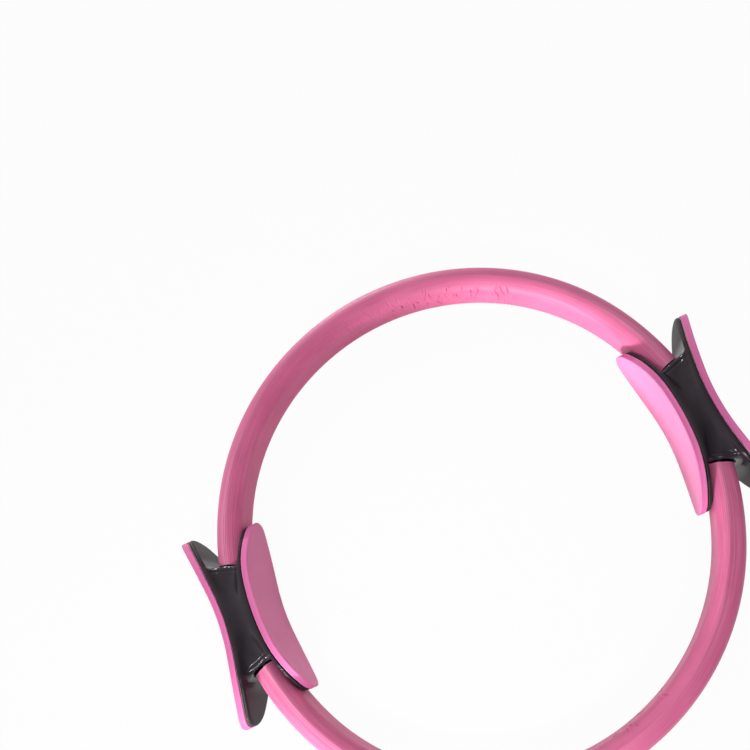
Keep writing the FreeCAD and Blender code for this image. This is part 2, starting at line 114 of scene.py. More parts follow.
def mixTint(wire, amount, low, high):
    return wire.add("ShaderNodeMix", {"data_type": "RGBA"}, {0: amount, 6: low, 7: high}, 2)


def noiseOn(wire, place, scale, detail=2.0, rough=0.5):
    return wire.add("ShaderNodeTexNoise", None,
                    {"Vector": place, "Scale": scale, "Detail": detail, "Roughness": rough})


def stretchOn(wire, place, scale):
    return wire.add("ShaderNodeMapping", None, {"Vector": place, "Scale": scale})


def grainOn(wire, grain, spec, detail, rough=0.5):
    # noise drawn out along the run, spec is its scale and its share of that scale along Z
    scale, share = spec
    return noiseOn(wire, stretchOn(wire, grain, (1.0, 1.0, share)), scale, detail, rough)


def bumpOn(wire, height, spec):
    strength, distance = spec
    return wire.add("ShaderNodeBump", None, {"Height": height, "Strength": strength, "Distance": distance})


def attributeOn(wire, name, out="Fac"):
    return wire.add("ShaderNodeAttribute", {"attribute_name": name}, None, out)


def dressShader(shader, look):
    # constants of a finish
    for key, socket in (("sheen", "Sheen Weight"), ("sheenRough", "Sheen Roughness"),
                        ("pale", "Sheen Tint"), ("specular", "Specular IOR Level")):
        if key in look:
            shader.inputs[socket].default_value = look[key]


# camera, set to the photograph's own viewing angle
camera = {"place": (18.32, -107.31, 468.85), "turn": (11.05, 7.2, -23.389),
          "lens": 31.39, "sensor": 36.0, "near": 0.01, "shift": (-0.1319, 0.1992)}
lens = bpy.data.cameras.new("camera")
lens.lens = camera["lens"]
lens.sensor_width = camera["sensor"]
lens.shift_x, lens.shift_y = camera["shift"]
lens.clip_start = camera["near"]
eye = bpy.data.objects.new("camera", lens)
eye.location = [v * mm for v in camera["place"]]
eye.rotation_euler = Euler([math.radians(v) for v in camera["turn"]], "XYZ")
scene.collection.objects.link(eye)
scene.camera = eye
print("camera set")

# hoop line shared by the foam and the strips: a crown arc that runs into a side arc
hoop = {"crownRadius": 168.71, "crownCentre": 11.79, "sideRadius": 195.004, "sideCentre": 23.504,
        "join": math.radians(26.64), "middle": 24.0}
# points on a section's corner, how sharply the crest rises, and the weld distance in metres
sweep = {"cornerPoints": 24, "crestPower": 1.5, "weld": 0.00002}
# quarters of the hoop, as mirror signs of the upper right one
quarters = {("upper", "right"): (1, 1), ("upper", "left"): (-1, 1),
            ("lower", "right"): (1, -1), ("lower", "left"): (-1, -1)}


def hoopLine(wire, inputs, count):
    # curve from the middle of the crown to the end angle on the side arc
    line = wire.add("GeometryNodeMeshLine", None, {"Count": count})
    line = wire.add("GeometryNodeMeshToCurve", None, {"Mesh": line})
    crown, side = inputs("Crown Radius"), inputs("Side Radius")
    join, end = inputs("Join Angle"), inputs("End Angle")
    crownRun = crown * (math.pi / 2 - join)
    total = crownRun + side * (join - end)
    run = wire.add("GeometryNodeInputIndex") / (count - 1) * total
    onSide = wire.maths("GREATER_THAN", run, crownRun)
    onCrown = 1 - onSide
    crownTurn = math.pi / 2 - run / crown
    sideTurn = join - (run - crownRun) / side
    x = (onCrown * crown * wire.maths("COSINE", crownTurn)
         + onSide * (side * wire.maths("COSINE", sideTurn) - inputs("Side Centre")))
    y = (onCrown * (crown * wire.maths("SINE", crownTurn) + inputs("Crown Centre"))
         + onSide * side * wire.maths("SINE", sideTurn))
    place = wire.add("ShaderNodeCombineXYZ", None, {"X": x, "Y": y, "Z": inputs("Middle")})
    line = wire.add("GeometryNodeSetPosition", None, {"Geometry": line, "Position": place})
    line = wire.add("GeometryNodeStoreNamedAttribute", {"data_type": "FLOAT", "domain": "POINT"},
                    {"Geometry": line, "Name": "run", "Value": run})
    return wire.add("GeometryNodeSetCurveNormal", {"mode": "Z_UP"}, {"Curve": line})


def sectionLine(wire, radial, axial, corner, count):
    # closed rounded rectangle, radial along X and axial along Y
    line = wire.add("GeometryNodeCurvePrimitiveQuadrilateral", None, {"Width": radial, "Height": axial})
    line = wire.add("GeometryNodeFilletCurve", {"mode": "POLY"},
                    {"Curve": line, "Count": sweep["cornerPoints"], "Radius": corner, "Limit Radius": True})
    return wire.add("GeometryNodeResampleCurve", {"mode": "COUNT"}, {"Curve": line, "Count": count})


def crestOn(wire, line, rise, width, soft, inward):
    # lift a soft crest along the front and the back of a section
    parts = wire.add("ShaderNodeSeparateXYZ", None, {"Vector": wire.add("GeometryNodeInputPosition")})
    x, y = parts.pick("X") - inward, parts.pick("Y")
    away = wire.maths("SQRT", x * x + soft * soft) - soft
    share = wire.maths("MAXIMUM", 1 - away / width, 0.0)
    lift = wire.maths("POWER", share, sweep["crestPower"]) * rise * wire.maths("SIGN", y)
    offset = wire.add("ShaderNodeCombineXYZ", None, {"Y": lift})
    return wire.add("GeometryNodeSetPosition", None, {"Geometry": line, "Offset": offset})


def keepSection(wire, part):
    # remember where each point lies in the section, for the finish
    return wire.add("GeometryNodeStoreNamedAttribute", {"data_type": "FLOAT_VECTOR", "domain": "POINT"},
                    {"Geometry": part, "Name": "section", "Value": wire.add("GeometryNodeInputPosition")})


def joinParts(wire, parts):
    joined = wire.tree.nodes.new("GeometryNodeJoinGeometry")
    for part in parts:
        wire.tree.links.new(part.socket, joined.inputs[0])
    return Wire(wire.tree, joined.outputs[0])


def startTree(name, sizes):
    tree = bpy.data.node_groups.new(name, "GeometryNodeTree")
    tree.interface.new_socket("Geometry", in_out="INPUT", socket_type="NodeSocketGeometry")
    for label in sizes:
        tree.interface.new_socket(label, in_out="INPUT", socket_type="NodeSocketFloat")
    tree.interface.new_socket("Seed", in_out="INPUT", socket_type="NodeSocketInt")
    tree.interface.new_socket("Finish", in_out="INPUT", socket_type="NodeSocketMaterial")
    tree.interface.new_socket("Geometry", in_out="OUTPUT", socket_type="NodeSocketGeometry")
    source = tree.nodes.new("NodeGroupInput")
    return Wire(tree), lambda label: Wire(tree, source.outputs[label])


def endTree(wire, inputs, part):
    part = wire.add("GeometryNodeMergeByDistance", None, {"Geometry": part, "Distance": sweep["weld"]})
    part = wire.add("GeometryNodeRealizeInstances", None, {"Geometry": part})
    part = wire.add("GeometryNodeSetMaterial", None, {"Geometry": part, "Material": inputs("Finish")})
    part.into(wire.tree.nodes.new("NodeGroupOutput"), 0)


def foamTree(around, bored, along, sizes):
    # hollow tube: outer sweep, bore sweep and a ring face at each end
    wire, inputs = startTree("foamSweep", sizes)
    line = hoopLine(wire, inputs, along)
    outer = sectionLine(wire, inputs("Radial"), inputs("Axial"), inputs("Corner"), around)
    outer = crestOn(wire, outer, inputs("Crest Rise"), inputs("Crest Width"), inputs("Crest Round"),
                    inputs("Crest Inward"))
    tangent = wire.add("GeometryNodeInputTangent")
    outward = wire.add("ShaderNodeVectorMath", {"operation": "CROSS_PRODUCT"}, {0: tangent, 1: (0, 0, 1)})
    place = wire.add("GeometryNodeInputPosition")
    lines = wire.add("ShaderNodeTexNoise", {"noise_dimensions": "4D"},
                     {"Vector": place, "W": inputs("Seed"), "Scale": inputs("Line Scale"), "Detail": 2.0})
    rise = (lines - 0.5) * inputs("Line Height")
    offset = wire.add("ShaderNodeVectorMath", {"operation": "SCALE"}, {0: outward, "Scale": rise})
    outer = wire.add("GeometryNodeSetPosition", None, {"Geometry": outer, "Offset": offset})
    outer = keepSection(wire, outer)
    line = wire.add("GeometryNodeStoreNamedAttribute", {"data_type": "FLOAT", "domain": "POINT"},
                    {"Geometry": line, "Name": "crest", "Value": inputs("Crest Inward")})
    bore = sectionLine(wire, inputs("Bore Radial"), inputs("Bore Axial"), inputs("Bore Corner"), bored)
    bore = keepSection(wire, bore)
    skin = wire.add("GeometryNodeCurveToMesh", None, {"Curve": line, "Profile Curve": outer})
    hole = wire.add("GeometryNodeCurveToMesh", None, {"Curve": line, "Profile Curve": bore})
    hole = wire.add("GeometryNodeFlipFaces", None, {"Mesh": hole})
    ring = wire.add("GeometryNodeFillCurve", {"mode": "TRIANGLES"}, {"Curve": joinParts(wire, [outer, bore])})
    ring = keepSection(wire, ring)
    ends = []
    for factor in (0.0, 1.0):
        spot = wire.add("GeometryNodeSampleCurve", {"mode": "FACTOR", "use_all_curves": True},
                        {"Curves": line, "Factor": factor}, "Position")
        turn = wire.add("FunctionNodeAxesToRotation", {"primary_axis": "Z", "secondary_axis": "X"},
                        {0: spot.pick("Tangent"), 1: spot.pick("Normal")})
        face = wire.add("GeometryNodeTransform", None,
                        {"Geometry": ring, "Translation": spot, "Rotation": turn})
        ends.append(wire.add("GeometryNodeFlipFaces", None, {"Mesh": face}) if factor == 0 else face)
    endTree(wire, inputs, joinParts(wire, [skin, hole] + ends))
    return wire.tree


def stripTree(around, along, sizes):
    wire, inputs = startTree("stripSweep", sizes)
    line = hoopLine(wire, inputs, along)
    outer = keepSection(wire, sectionLine(wire, inputs("Radial"), inputs("Axial"), inputs("Corner"), around))
    bar = wire.add("GeometryNodeCurveToMesh", None,
                   {"Curve": line, "Profile Curve": outer, "Fill Caps": True})
    endTree(wire, inputs, bar)
    return wire.tree


def growPart(name, tree, values):
    # set the tree's inputs by identifier, evaluate once and keep a plain mesh
    part = bpy.data.objects.new(name, bpy.data.meshes.new(name))
    scene.collection.objects.link(part)
    grower = part.modifiers.new("grow", "NODES")
    grower.node_group = tree
    for item in tree.interface.items_tree:
        if item.item_type == "SOCKET" and item.in_out == "INPUT" and item.name in values:
            grower[item.identifier] = values[item.name]
    graph = bpy.context.evaluated_depsgraph_get()
    mesh = bpy.data.meshes.new_from_object(part.evaluated_get(graph), preserve_all_data_layers=True,
                                           depsgraph=graph)
    part.modifiers.remove(grower)
    bpy.data.objects.remove(part)
    return mesh


def pointsOf(mesh):
    flat = np.empty(len(mesh.vertices) * 3)
    mesh.vertices.foreach_get("co", flat)
    return flat.reshape(-1, 3)


def volumeOf(mesh):
    mesh.calc_loop_triangles()
    points = pointsOf(mesh)
    faces = np.empty(len(mesh.loop_triangles) * 3, int)
    mesh.loop_triangles.foreach_get("vertices", faces)
    a, b, c = (points[faces.reshape(-1, 3)[:, i]] for i in range(3))
    return float(np.einsum("ij,ij->i", a, np.cross(b, c)).sum() / 6)


def placePart(name, mesh, matrix=None):
    # plain object at the origin, with outward faces
    part = bpy.data.objects.new(name, mesh)
    mesh.name = name
    if matrix is not None:
        mesh.transform(matrix)
    if volumeOf(mesh) < 0:
        mesh.flip_normals()
    scene.collection.objects.link(part)
    return part


# foam: closed-cell pink tube, matte, with extruded run lines
foamLook = {"face": shown(237, 120, 166), "deep": shown(210, 97, 142), "streakAndCutHighlight": shown(255, 205, 228),
            "pale": shown(255, 214, 232), "rough": 0.47, "roughSpread": 0.16,
            "lines": (1500.0, 0.012), "ribs": (520.0, 0.006), "cloud": (70.0, 0.35),
            "broken": (300.0, 0.05), "pores": 2600.0, "worn": (0.06, 0.19, 0.3, 1.0),
            "hair": (0.008, 0.03), "sway": (22.0, 0.0014), "front": (0.009, 0.012),
            "crests": (-0.0011, 0.0002, 0.0013, 0.0031), "crestEdge": (0.0001, 0.00032),
            # cut: where the painted highlight on the tube's cut end rises along the run
            "cut": (0.2373, 0.2383), "bump": (0.35, 0.0002),
            "sheen": 0.1, "sheenRough": 0.45, "specular": 0.35}


def foamFinish(look):
    finish, wire, shader = startFinish("tubeFoam")
    run = attributeOn(wire, "run")
    inward = attributeOn(wire, "crest")
    parts = wire.add("ShaderNodeSeparateXYZ", None, {"Vector": attributeOn(wire, "section", "Vector")})
    outward = parts.pick("X") * -1
    front = parts.pick("Y") * -1
    grain = wire.add("ShaderNodeCombineXYZ", None, {"X": outward, "Y": front, "Z": run})
    lines = grainOn(wire, grain, look["lines"], 3.0, 0.65)
    ribs = grainOn(wire, grain, look["ribs"], 1.0)
    cloud = grainOn(wire, grain, look["cloud"], 3.0)
    pores = noiseOn(wire, grain, look["pores"], 1.0)
    broken = grainOn(wire, grain, look["broken"], 3.0)
    # the run lines show more towards the ends of a tube
    worn = run.span(*look["worn"])
    tone = (lines.span(0.34, 0.66) - 0.4) * worn * 0.7 + cloud.span(0.3, 0.7) * 0.4 + 0.3
    colour = mixTint(wire, tone, look["deep"], look["face"])
    # thin pale hairlines left by the extrusion, broken up along the run
    hair = 1 - wire.maths("ABSOLUTE", ribs - 0.5).span(*look["hair"])
    hair = hair * broken.span(0.42, 0.6)
    # seam lines along the front crest
    swayScale, swayWidth = look["sway"]
    sway = (noiseOn(wire, stretchOn(wire, grain, (0.0, 0.0, 1.0)), swayScale) - 0.5) * swayWidth
    crest = 0.0
    for place in look["crests"]:
        away = wire.maths("ABSOLUTE", outward + inward + sway - place)
        crest = (1 - away.span(*look["crestEdge"])) + crest
    crest = crest * front.span(*look["front"]) * broken.span(0.36, 0.55)
    # painted highlight: the cut edge at the end of a tube is made paler, standing in for light caught on the
    # cut end's rim
    cut = run.span(*look["cut"])
    # one pale colour for the real hairlines and crest lines and for the painted highlight on the cut end
    colour = mixTint(wire, (crest * 0.20 + hair * 0.15) * worn + cut * 0.45, colour, look["streakAndCutHighlight"])
    colour.into(shader, "Base Color")
    (look["rough"] + (cloud - 0.5) * look["roughSpread"]).into(shader, "Roughness")
    height = lines * worn * 0.5 + pores * 0.3 + (crest * 0.3 + hair * 0.2) * worn
    bumpOn(wire, height, look["bump"]).into(shader, "Normal")
    dressShader(shader, look)
    return finish


foam = {"radial": 18.6, "axial": 28.2, "corner": 7.5, "crestWidth": 7.6, "crestRound": 0.7,
        "crestRise": {"upper": 1.4, "lower": 1.9}, "crestInward": {"upper": 0.0, "lower": 3.2},
        "endLean": 0.126, "endReach": 40.0, "sharp": 50.0,
        "boreRadial": 4.6, "boreAxial": 18.6, "boreCorner": 1.3, "endAngle": math.radians(11.37),
        "around": 140, "boreAround": 40, "along": 500, "lineHeight": 0.04, "lineScale": 1300.0,
        "seed": 4, "fill": 0.95}
# short creases pressed into the inner face where the foam bends over the crown
creases = {"upper": {"count": 125, "from": -55.0, "to": 112.0, "seed": 11},
           "lower": {"count": 45, "from": -80.0, "to": 80.0, "seed": 23},
           "depth": (0.5, 1.6), "width": (0.5, 0.8), "reach": (1.8, 5.0), "level": (5.0, 5.0), "tilt": 0.4,
           "inner": (4.0, 4.0), "shallow": 0.3, "deepFrom": -20.0, "deepOver": 60.0,
           "swell": 0.35, "swellWidth": 2.2}


def creaseFoam(mesh, half):
    # press the creases into a tube and lean its cut end
    points = pointsOf(mesh) / mm
    rise = np.abs(points[:, 1]) - hoop["crownCentre"]
    radial = np.hypot(points[:, 0], rise) - hoop["crownRadius"]
    run = np.arctan2(points[:, 0], rise) * hoop["crownRadius"]
    level = points[:, 2] - hoop["middle"]
    start, ramp = creases["inner"]
    inner = np.clip((-radial - start) / ramp, 0, 1)
    spec = creases[half]
    pick = np.random.default_rng(spec["seed"])
    push = np.zeros(len(points))
    for index in range(spec["count"]):
        at = pick.uniform(spec["from"], spec["to"])
        middle = pick.normal(*creases["level"])
        strong = np.clip((at - creases["deepFrom"]) / creases["deepOver"], 0, 1)
        depth = pick.uniform(*creases["depth"])
        depth *= creases["shallow"] + (1 - creases["shallow"]) * strong
        width = pick.uniform(*creases["width"])
        reach = pick.uniform(*creases["reach"])
        tilt = pick.normal(0.0, creases["tilt"])
        along = run - at - tilt * (level - middle)
        fade = np.clip(1 - ((level - middle) / reach) ** 2, 0, 1)
        groove = np.exp(-(along / width) ** 2)
        swell = creases["swell"] * np.exp(-(along / (creases["swellWidth"] * width)) ** 2)
        push += depth * fade * (groove - swell)
    push *= inner
    # the cut end leans back on the outside of the bend
    turn = np.arctan2(np.abs(points[:, 1]), np.abs(points[:, 0]) + hoop["sideCentre"])
    away = (turn - foam["endAngle"]) * hoop["sideRadius"]
    offset = np.hypot(np.abs(points[:, 0]) + hoop["sideCentre"], points[:, 1]) - hoop["sideRadius"]
    lean = foam["endLean"] * offset * np.clip(1 - away / foam["endReach"], 0, 1) ** 2
    tangent = np.stack([-np.sign(points[:, 0]) * np.sin(turn), np.sign(points[:, 1]) * np.cos(turn),
                        np.zeros(len(points))], 1)
    tangent *= lean[:, None]
    outward = np.stack([points[:, 0], np.sign(points[:, 1]) * rise, np.zeros(len(points))], 1)
    outward /= np.linalg.norm(outward, axis=1)[:, None]
    mesh.vertices.foreach_set("co", ((points + outward * push[:, None] + tangent) * mm).ravel())
    mesh.update()


hoopSizes = {"Crown Radius": hoop["crownRadius"] * mm, "Crown Centre": hoop["crownCentre"] * mm,
             "Side Radius": hoop["sideRadius"] * mm, "Side Centre": hoop["sideCentre"] * mm,
             "Join Angle": hoop["join"], "Middle": hoop["middle"] * mm}
foamSizes = dict(hoopSizes, **{
    "End Angle": foam["endAngle"], "Radial": foam["radial"] * mm, "Axial": foam["axial"] * mm,
    "Corner": foam["corner"] * mm, "Crest Rise": 0.0, "Crest Width": foam["crestWidth"] * mm,
    "Crest Round": foam["crestRound"] * mm, "Crest Inward": 0.0,
    "Bore Radial": foam["boreRadial"] * mm, "Bore Axial": foam["boreAxial"] * mm,
    "Bore Corner": foam["boreCorner"] * mm, "Line Height": foam["lineHeight"] * mm,
    "Line Scale": foam["lineScale"]})
foamSweep = foamTree(foam["around"], foam["boreAround"], foam["along"], foamSizes)
foamSizes["Seed"] = foam["seed"]
foamSizes["Finish"] = foamFinish(foamLook)
for (half, side), (signX, signY) in quarters.items():
    foamSizes["Crest Inward"] = foam["crestInward"][half] * mm
    foamSizes["Crest Rise"] = foam["crestRise"][half] * mm
    mesh = growPart("foam", foamSweep, foamSizes)
    tube = placePart(half + "_" + side + "_foam", mesh, Matrix.Diagonal((signX, signY, 1, 1)))
    creaseFoam(mesh, half)
    mesh.shade_smooth()
    mesh.set_sharp_from_angle(angle=math.radians(foam["sharp"]))
    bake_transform(tube)
    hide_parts(half + "_foam_tube")
print("foam tubes swept")

# spring strips inside the foam, glass fibre in dark resin
strip = {"radial": 4.0, "axial": 18.0, "corner": 1.0, "endGap": 3.0, "around": 40, "along": 120,
         "sharp": 40.0, "fibres": (2400.0, 0.02), "bump": (0.2, 0.0001),
         "resin": shown(58, 60, 56), "fibre": shown(128, 130, 118)}


def stripFinish(look):
    finish, wire, shader = startFinish("glassFibre")
    parts = wire.add("ShaderNodeSeparateXYZ", None, {"Vector": attributeOn(wire, "section", "Vector")})
    grain = wire.add("ShaderNodeCombineXYZ", None,
                     {"X": parts.pick("X"), "Y": parts.pick("Y"), "Z": attributeOn(wire, "run")})
    fibres = grainOn(wire, grain, look["fibres"], 3.0)
    mixTint(wire, fibres.span(0.35, 0.7), look["resin"], look["fibre"]).into(shader, "Base Color")
    fibres.span(0.2, 0.8, 0.3, 0.5).into(shader, "Roughness")
    bumpOn(wire, fibres, look["bump"]).into(shader, "Normal")
    return finish


stripEnd = math.asin(strip["endGap"] / hoop["sideRadius"])
stripSizes = dict(hoopSizes, **{"End Angle": stripEnd, "Radial": strip["radial"] * mm,
                                "Axial": strip["axial"] * mm, "Corner": strip["corner"] * mm})
stripSweep = stripTree(strip["around"], strip["along"], stripSizes)
stripSizes["Finish"] = stripFinish(strip)
for (half, side), (signX, signY) in quarters.items():
    mesh = growPart("strip", stripSweep, stripSizes)
    bar = placePart(half + "_" + side + "_strip", mesh, Matrix.Diagonal((signX, signY, 1, 1)))
    mesh.shade_smooth()
    mesh.set_sharp_from_angle(angle=math.radians(strip["sharp"]))
    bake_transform(bar)
    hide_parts(half + "_spring_strip")
print("spring strips swept")


# margin and leap are shares of a step, probe is in millimetres
surface = {"margin": 2.5, "rounds": 5, "probe": 0.02, "leastSlope": 0.05, "leap": 0.3, "tiny": 1e-6}


def fieldMesh(name, field, low, high, step):
    # closed mesh on the zero level of field(x, y, z), all in millimetres
    margin = surface["margin"] * step
    axes = [np.arange(a - margin, b + margin, step) for a, b in zip(low, high)]
    values = field(*np.meshgrid(*axes, indexing="ij"))
    inside = values < 0
    shape = [n - 1 for n in values.shape]
    corners = [(i, j, k) for i in (0, 1) for j in (0, 1) for k in (0, 1)]
    count = sum(inside[i:i + shape[0], j:j + shape[1], k:k + shape[2]].astype(np.int8)
                for i, j, k in corners)
    active = (count > 0) & (count < len(corners))
    number = np.full(active.shape, -1)
    number[active] = np.arange(active.sum())
    cells = np.argwhere(active)
    total = np.zeros(cells.shape)
    hits = np.zeros(len(cells))
    for a in corners:
        for axis in range(3):
            if a[axis]:
                continue
            b = [a[i] + (i == axis) for i in range(3)]
            first = values[tuple((cells + a).T)]
            second = values[tuple((cells + b).T)]
            cut = (first < 0) != (second < 0)
            share = np.where(cut, first / np.where(cut, first - second, 1), 0)
            spot = np.array(a, float) + share[:, None] * (np.array(b) - np.array(a))
            total[cut] += spot[cut]
            hits[cut] += 1
    points = np.array([axis[0] for axis in axes]) + (cells + total / hits[:, None]) * step
    slope = np.zeros(points.shape)
    probe, leap = surface["probe"], surface["leap"] * step
    for turn in range(surface["rounds"]):
        # slide each point down the field's slope onto the surface
        value = field(*points.T)
        for axis in range(3):
            shift = np.zeros(3)
            shift[axis] = probe
            slope[:, axis] = (field(*(points + shift).T) - field(*(points - shift).T)) / (2 * probe)
        move = value / np.maximum((slope ** 2).sum(1), surface["leastSlope"])
        points = points - np.clip(move, -leap, leap)[:, None] * slope
    faces = []
    for axis in range(3):
        u, v = (axis + 1) % 3, (axis + 2) % 3
        lower = np.take(inside, range(shape[axis]), axis)
        change = lower != np.take(inside, range(1, shape[axis] + 1), axis)
        spots = np.argwhere(change)
        within = (spots[:, u] > 0) & (spots[:, v] > 0)
        spots = spots[within & (spots[:, u] < shape[u]) & (spots[:, v] < shape[v])]
        ring = []
        for du, dv in ((-1, -1), (0, -1), (0, 0), (-1, 0)):
            cell = spots.copy()
            cell[:, u] += du
            cell[:, v] += dv
            ring.append(number[tuple(cell.T)])
        quads = np.stack(ring, 1)
        turned = ~lower[tuple(spots.T)]
        quads[turned] = quads[turned][:, ::-1]
        faces.append(quads)
    mesh = bpy.data.meshes.new(name)
    mesh.from_pydata((points * mm).tolist(), [], np.concatenate(faces).tolist())
    mesh.update()
    mesh.shade_smooth()
    slope /= np.maximum(np.linalg.norm(slope, axis=1), surface["tiny"])[:, None]
    mesh.normals_split_custom_set_from_vertices(slope.tolist())
    return mesh


def roundJoin(first, second, radius):
    # union with a hollow of this radius between the two
    u = np.maximum(radius - first, 0)
    v = np.maximum(radius - second, 0)
    return np.maximum(radius, np.minimum(first, second)) - np.hypot(u, v)


def roundMeet(first, second, radius):
    # overlap with its edge rounded to this radius
    u = np.maximum(radius + first, 0)
    v = np.maximum(radius + second, 0)
    return np.minimum(-radius, np.maximum(first, second)) + np.hypot(u, v)


def ease(value, low, high):
    # smooth step from 0 at low to 1 at high
    t = np.clip((value - low) / (high - low), 0, 1)
    return t * t * (3 - 2 * t)


# grips: one moulding with two bent oval flanges, and a foam pad on each flange
grip = {"centre": 168.513, "halfWidth": 24.0, "step": 0.72, "low": (-24, -72, -24), "high": (27, 72, 24),
        "outer": {"axis": 179.725, "face": 165.0, "back": 169.95, "web": 172.95,
                  "half": 71.5, "flat": 24.0, "tip": 15.0},
        "inner": {"axis": -186.862, "face": 172.004, "back": 176.954, "web": 179.954,
                  "half": 63.5, "flat": 20.0, "tip": 14.0},
        "edge": 1.2, "barrel": 12.3, "straight": 6.6, "rim": 3.6, "brow": 2.4,
        "mouth": 38.2, "lean": 0.335, "leanScale": 0.95, "bead": {"back": 4.5, "deep": 0.45, "wide": 0.7},
        "saddle": (14.0, 9.0), "root": 1.6, "backGap": 0.6, "backRound": 0.9,
        "cavity": (9.2, 15.2), "cavityCorner": 7.3, "cavityDepth": 10.0, "lip": 0.3,
        "slotAxis": -192.017, "slotRadius": 195.004, "slot": (2.3, 9.3), "slotFrom": 2.7,
        "screws": (9.0, 19.0), "seat": (3.9, 7.775), "bore": 2.1, "boreDepth": 5.5}
pad = {"thick": 4.7, "inset": 0.4, "edge": 1.0, "backEdge": 0.4, "drawn": 0.22, "step": 0.72, "fill": 0.95,
       "across": {"outer": (6.0, 33.0), "inner": (-29.0, -6.0)}}


def ovalField(y, z, half, flat, tip, high):
    # level-topped oval: flat middle, large arcs, small tip arcs
    reach = half - tip - flat
    large = (reach ** 2 + high ** 2 - tip ** 2) / (2 * (high - tip))
    turn = math.atan2(large - high, reach)
    y, z = np.abs(y), np.abs(z)
    dy, dz = y - flat, z - (high - large)
    onLarge = np.hypot(dy, dz) - large
    onTip = np.hypot(y - (half - tip), z) - tip
    curved = np.where(np.arctan2(dz, dy) < turn, onTip, onLarge)
    return np.where(dy < 0, z - high, curved)


def slabField(x, y, z, flange, low, high, inset, edge):
    # bent plate between two radii about the flange's own axis
    rho = np.hypot(x - flange["axis"], y)
    across = np.abs(rho - (low + high) / 2) - (high - low) / 2
    outline = ovalField(y, z, flange["half"] - inset, flange["flat"], flange["tip"] - inset,
                        grip["halfWidth"] - inset)
    return roundMeet(across, outline, edge)


def mouldingField(x, y, z):
    # barrel and saddle between the two plates, with mouths, cavities, strip slots and screw holes
    flanges = (grip["outer"], grip["inner"])
    run = np.abs(y)
    section = np.hypot(x, np.maximum(np.abs(z) - grip["straight"], 0)) - grip["barrel"]
    bead = grip["bead"]
    past = (run - grip["lean"] * x - grip["mouth"]) * grip["leanScale"]
    section = section + bead["deep"] * np.exp(-((past + bead["back"]) / bead["wide"]) ** 2)
    body = np.maximum(section, past)
    waist, end = grip["saddle"]
    hollow = waist + (end - waist) * ease(run, 0, grip["mouth"])
    limit = np.maximum(*[flange["back"] - np.hypot(x - flange["axis"], y) for flange in flanges])
    body = np.maximum(body, limit + grip["backGap"])
    outline = []
    plates = []
    for flange in flanges:
        plates.append(slabField(x, y, z, flange, flange["back"], flange["web"], 0, grip["edge"]))
        body = roundJoin(body, plates[-1], hollow)
        outline.append(ovalField(y, z, flange["half"], flange["flat"], flange["tip"], grip["halfWidth"]))
    body = roundMeet(body, past, grip["rim"])
    body = roundJoin(roundJoin(body, plates[0], grip["root"]), plates[1], grip["root"])
    body = roundMeet(body, np.where(x > 0, outline[0], outline[1]), grip["brow"])
    body = roundMeet(body, limit, grip["backRound"])
    half = grip["cavity"]
    corner = grip["cavityCorner"]
    qx, qz = np.abs(x) - half[0] + corner, np.abs(z) - half[1] + corner
    hole = np.hypot(np.maximum(qx, 0), np.maximum(qz, 0)) + np.minimum(np.maximum(qx, qz), 0) - corner
    hole = np.maximum(hole, -past - grip["cavityDepth"])
    body = roundMeet(body, -hole, grip["lip"])
    slot = np.abs(np.hypot(x - grip["slotAxis"], y) - grip["slotRadius"]) - grip["slot"][0]
    slot = np.maximum(np.maximum(slot, np.abs(z) - grip["slot"][1]), grip["slotFrom"] - run)
    slot = np.maximum(slot, past)
    body = np.maximum(body, -slot)
    for place in grip["screws"]:
        spread = np.hypot(run - place, z)
        seat = np.maximum(spread - grip["seat"][0], grip["seat"][1] - x)
        bore = np.maximum(spread - grip["bore"], -grip["boreDepth"] - x)
        body = np.maximum(body, -np.minimum(seat, bore))
    return body


def padField(x, y, z, flange):
    # die-cut pad on a flange: sides drawn in a little, softer edge on the open face
    low, high = flange["face"], flange["face"] + pad["thick"]
    rho = np.hypot(x - flange["axis"], y)
    level = (rho - (low + high) / 2) / (pad["thick"] / 2)
    outline = ovalField(y, z, flange["half"] - pad["inset"], flange["flat"], flange["tip"] - pad["inset"],
                        grip["halfWidth"] - pad["inset"])
    outline = outline + pad["drawn"] * np.clip(1 - level ** 2, 0, 1)
    body = roundMeet(low - rho, outline, pad["edge"])
    return roundMeet(body, rho - high, pad["backEdge"])


# grip plastic: black, glossy, with a faint moulded unevenness
gripLook = {"face": shown(43, 36, 43), "worn": shown(55, 47, 54), "rough": 0.2, "roughSpread": 0.12,
            "satin": 0.3, "reach": (0.044, 0.053), "cloud": 45.0, "fine": 1400.0, "specks": 900.0,
            "dust": (0.74, 0.80), "bump": (0.05, 0.0006), "specular": 0.3}


def gripFinish(look):
    finish, wire, shader = startFinish("gripPlastic")
    place = wire.add("ShaderNodeTexCoord", None, None, "Object")
    cloud = noiseOn(wire, place, look["cloud"], 3.0)
    fine = noiseOn(wire, place, look["fine"], 2.0)
    dust = noiseOn(wire, place, look["specks"], 1.0).span(*look["dust"])
    wear = cloud.span(0.4, 0.7) * 0.5 + dust * 0.6
    mixTint(wire, wear, look["face"], look["worn"]).into(shader, "Base Color")
    # the flanges past the mouths are satin, the socket is glossier
    along = wire.maths("ABSOLUTE", wire.add("ShaderNodeSeparateXYZ", None, {"Vector": place}).pick("Y"))
    satin = along.span(*look["reach"], 0.0, look["satin"])
    (look["rough"] + satin + (cloud - 0.5) * look["roughSpread"] + dust * 0.2).into(shader, "Roughness")
    bumpOn(wire, cloud * 0.7 + fine * 0.05, look["bump"]).into(shader, "Normal")
    dressShader(shader, look)
    return finish


# pad foam: finer cells and a smoother skin than the tubes, with painted shade on its sides
padLook = {"face": shown(249, 143, 192), "deep": shown(242, 132, 183), "side": shown(240, 122, 184),
           "pale": shown(255, 214, 238), "rough": 0.5, "cloud": 38.0, "cells": 2200.0,
           "sideShadeFrom": (0.06, 0.2), "bump": (0.2, 0.00015), "sheen": 0.2, "sheenRough": 0.4, "specular": 0.28}


